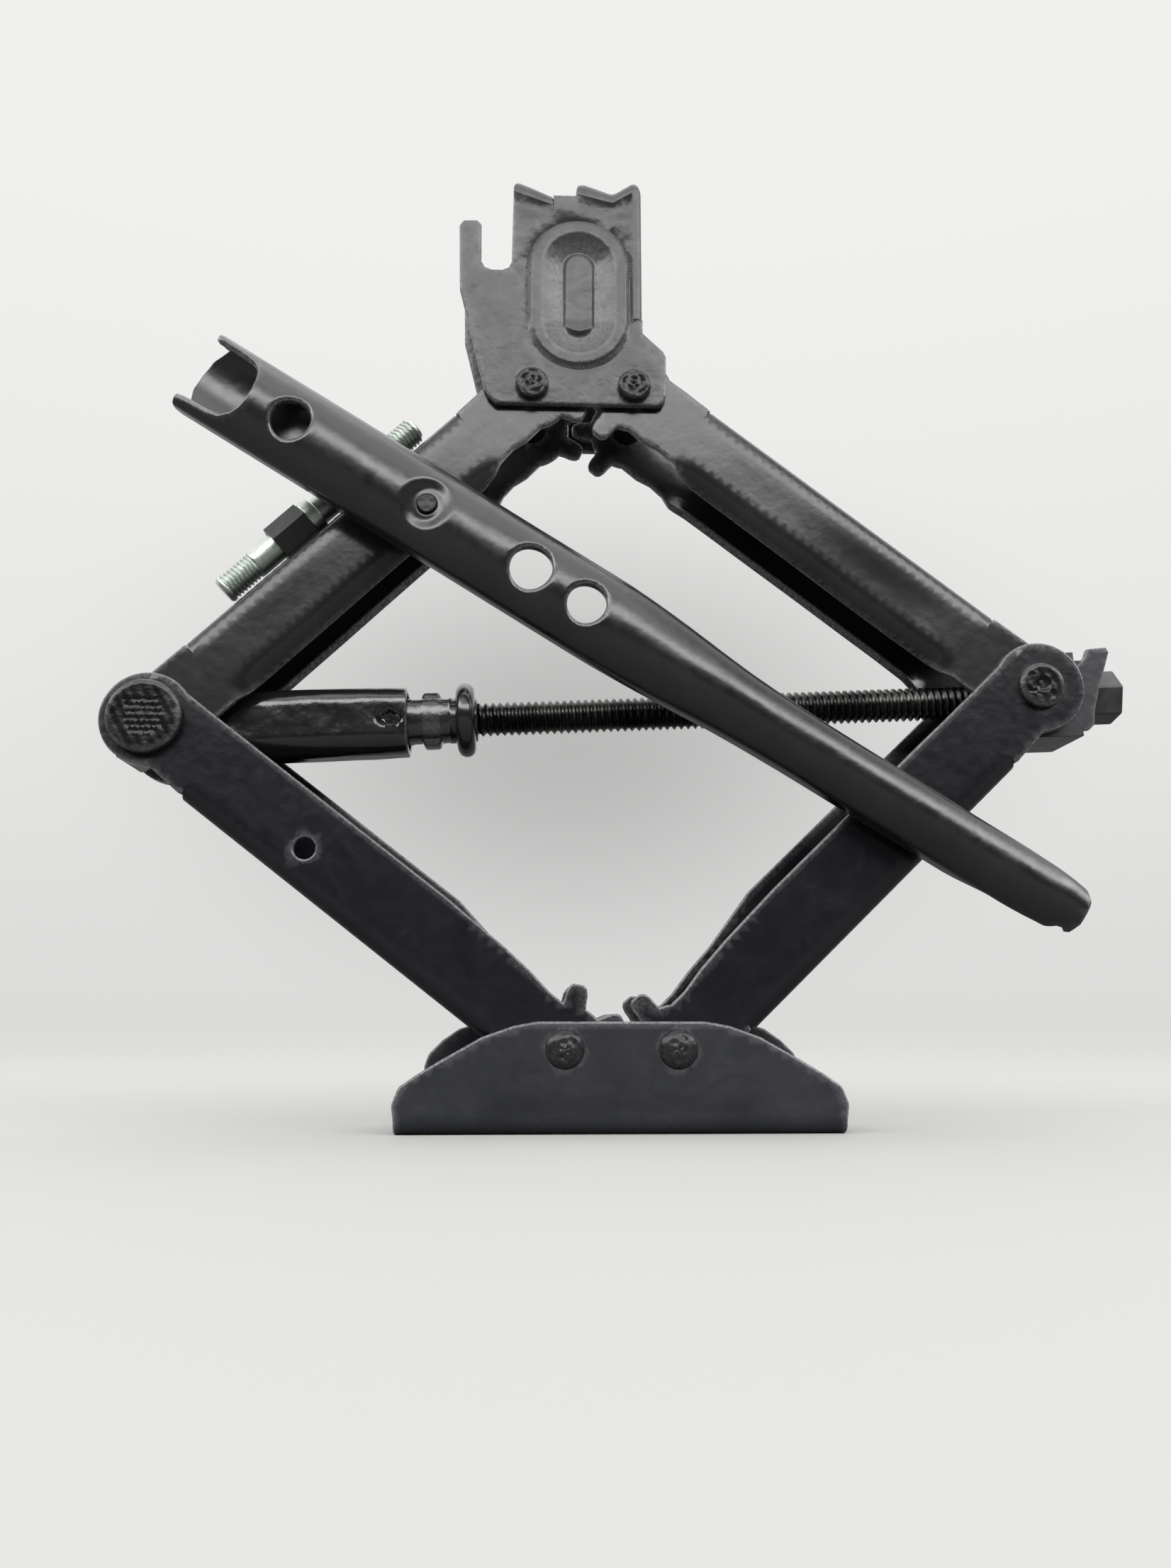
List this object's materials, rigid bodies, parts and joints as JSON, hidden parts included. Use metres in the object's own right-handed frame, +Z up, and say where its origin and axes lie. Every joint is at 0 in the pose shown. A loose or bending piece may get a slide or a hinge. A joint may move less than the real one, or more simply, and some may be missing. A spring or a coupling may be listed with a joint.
{
  "type": "car jack",
  "caption": "Scissor car jack with meshed folding arms, screw and nut tube, slotted saddle head, channel base, stamped drive handle and a stowed bolt.",
  "frame": {"origin": "on the floor under the middle of the base channel", "axes": "X along the screw with the drive hexagon at +X, Y through the jack with the handle on the -Y side, Z up"},
  "size_m": [0.3531, 0.065, 0.3387],
  "materials": {
    "base_paint": "satin black",
    "lower_arm_paint": "satin black",
    "upper_arm_paint": "satin black, worn sheen",
    "head_paint": "satin dark grey",
    "handle_paint": "semi-gloss dark grey",
    "tube_paint": "glossy wrinkled black",
    "rivet_steel": "satin black, rubbed",
    "screw_steel": "dark, oiled",
    "drive_steel": "phosphated",
    "clip_steel": "blued spring steel",
    "zinc": "bright zinc plating",
    "black_sleeve": "matt black"
  },
  "bodies": {
    "base": {"base_channel": "base_paint", "base_rivet_left": "rivet_steel", "base_rivet_right": "rivet_steel"},
    "left_lower": {"lower_left_arm": "lower_arm_paint"},
    "right_lower": {"lower_right_arm": "lower_arm_paint", "handle_clip": "clip_steel", "handle_clip_rivet": "rivet_steel"},
    "nut_trunnion": {"nut_block": "tube_paint", "nut_pin_front": "rivet_steel", "nut_pin_back": "rivet_steel", "nut_tube": "tube_paint", "nut_neck": "tube_paint", "nut_collar": "tube_paint"},
    "bearing_trunnion": {"bearing_block": "tube_paint", "bearing_pin_front": "rivet_steel", "bearing_pin_back": "rivet_steel", "bearing_yoke": "base_paint"},
    "left_upper": {"upper_left_arm": "upper_arm_paint", "bolt_clip": "clip_steel"},
    "right_upper": {"upper_right_arm": "upper_arm_paint"},
    "head": {"head_bracket": "head_paint", "head_rivet_left": "rivet_steel", "head_rivet_right": "rivet_steel"},
    "screw": {"screw_rod": "screw_steel", "screw_washer": "drive_steel", "screw_lock_collar": "drive_steel", "drive_hex": "drive_steel"},
    "handle": {"handle_body": "handle_paint", "handle_back_plate": "handle_paint", "handle_socket": "drive_steel", "socket_rivet": "rivet_steel"},
    "stowed_bolt": {"bolt_rod": "zinc", "bolt_hex_sleeve": "black_sleeve", "bolt_collar": "zinc"}
  },
  "joints": [
    {"name": "fold", "type": "hinge", "parent": "base", "child": "left_lower", "pos_m": [-0.0181, 0, 0.0264], "axis": [0, 1, 0], "range_deg": [-24, 16]},
    {"name": "fold_right", "type": "hinge", "parent": "base", "child": "right_lower", "pos_m": [0.0181, 0, 0.0264], "axis": [0, -1, 0], "range_deg": [-24, 16]},
    {"name": "nut_level", "type": "hinge", "parent": "left_lower", "child": "nut_trunnion", "pos_m": [-0.15728, 0, 0.13413], "axis": [0, 1, 0], "range_deg": [-16, 24]},
    {"name": "bearing_level", "type": "hinge", "parent": "right_lower", "child": "bearing_trunnion", "pos_m": [0.145, 0, 0.14835], "axis": [0, 1, 0], "range_deg": [-24.2, 16.2]},
    {"name": "upper_left_fold", "type": "hinge", "parent": "nut_trunnion", "child": "left_upper", "pos_m": [-0.15728, 0, 0.13413], "axis": [0, 1, 0], "range_deg": [-16.2, 24.2]},
    {"name": "upper_right_fold", "type": "hinge", "parent": "bearing_trunnion", "child": "right_upper", "pos_m": [0.145, 0, 0.14835], "axis": [0, 1, 0], "range_deg": [-24, 16]},
    {"name": "head_level", "type": "hinge", "parent": "left_upper", "child": "head", "pos_m": [-0.03038, 0, 0.25608], "axis": [0, 1, 0], "range_deg": [-24, 16]},
    {"name": "screw_turn", "type": "hinge", "parent": "bearing_trunnion", "child": "screw", "pos_m": [0.145, 0, 0.14835], "axis": [0.9989, 0, 0.047], "continuous": true},
    {"name": "handle_unclip", "type": "slide", "parent": "right_lower", "child": "handle", "axis": [0, -1, 0], "range_m": [0, 0.1]},
    {"name": "bolt_unclip", "type": "slide", "parent": "left_upper", "child": "stowed_bolt", "axis": [-0.6929, 0, 0.721], "range_m": [0, 0.05]}
  ],
  "couplings": [
    {"joint": "fold_right", "follows": "fold", "ratio": 1},
    {"joint": "nut_level", "follows": "fold", "ratio": -0.9953},
    {"joint": "bearing_level", "follows": "fold", "ratio": 1.0047},
    {"joint": "upper_left_fold", "follows": "fold", "ratio": -1.0047},
    {"joint": "upper_right_fold", "follows": "fold", "ratio": 0.9953},
    {"joint": "head_level", "follows": "fold", "ratio": 1}
  ]
}
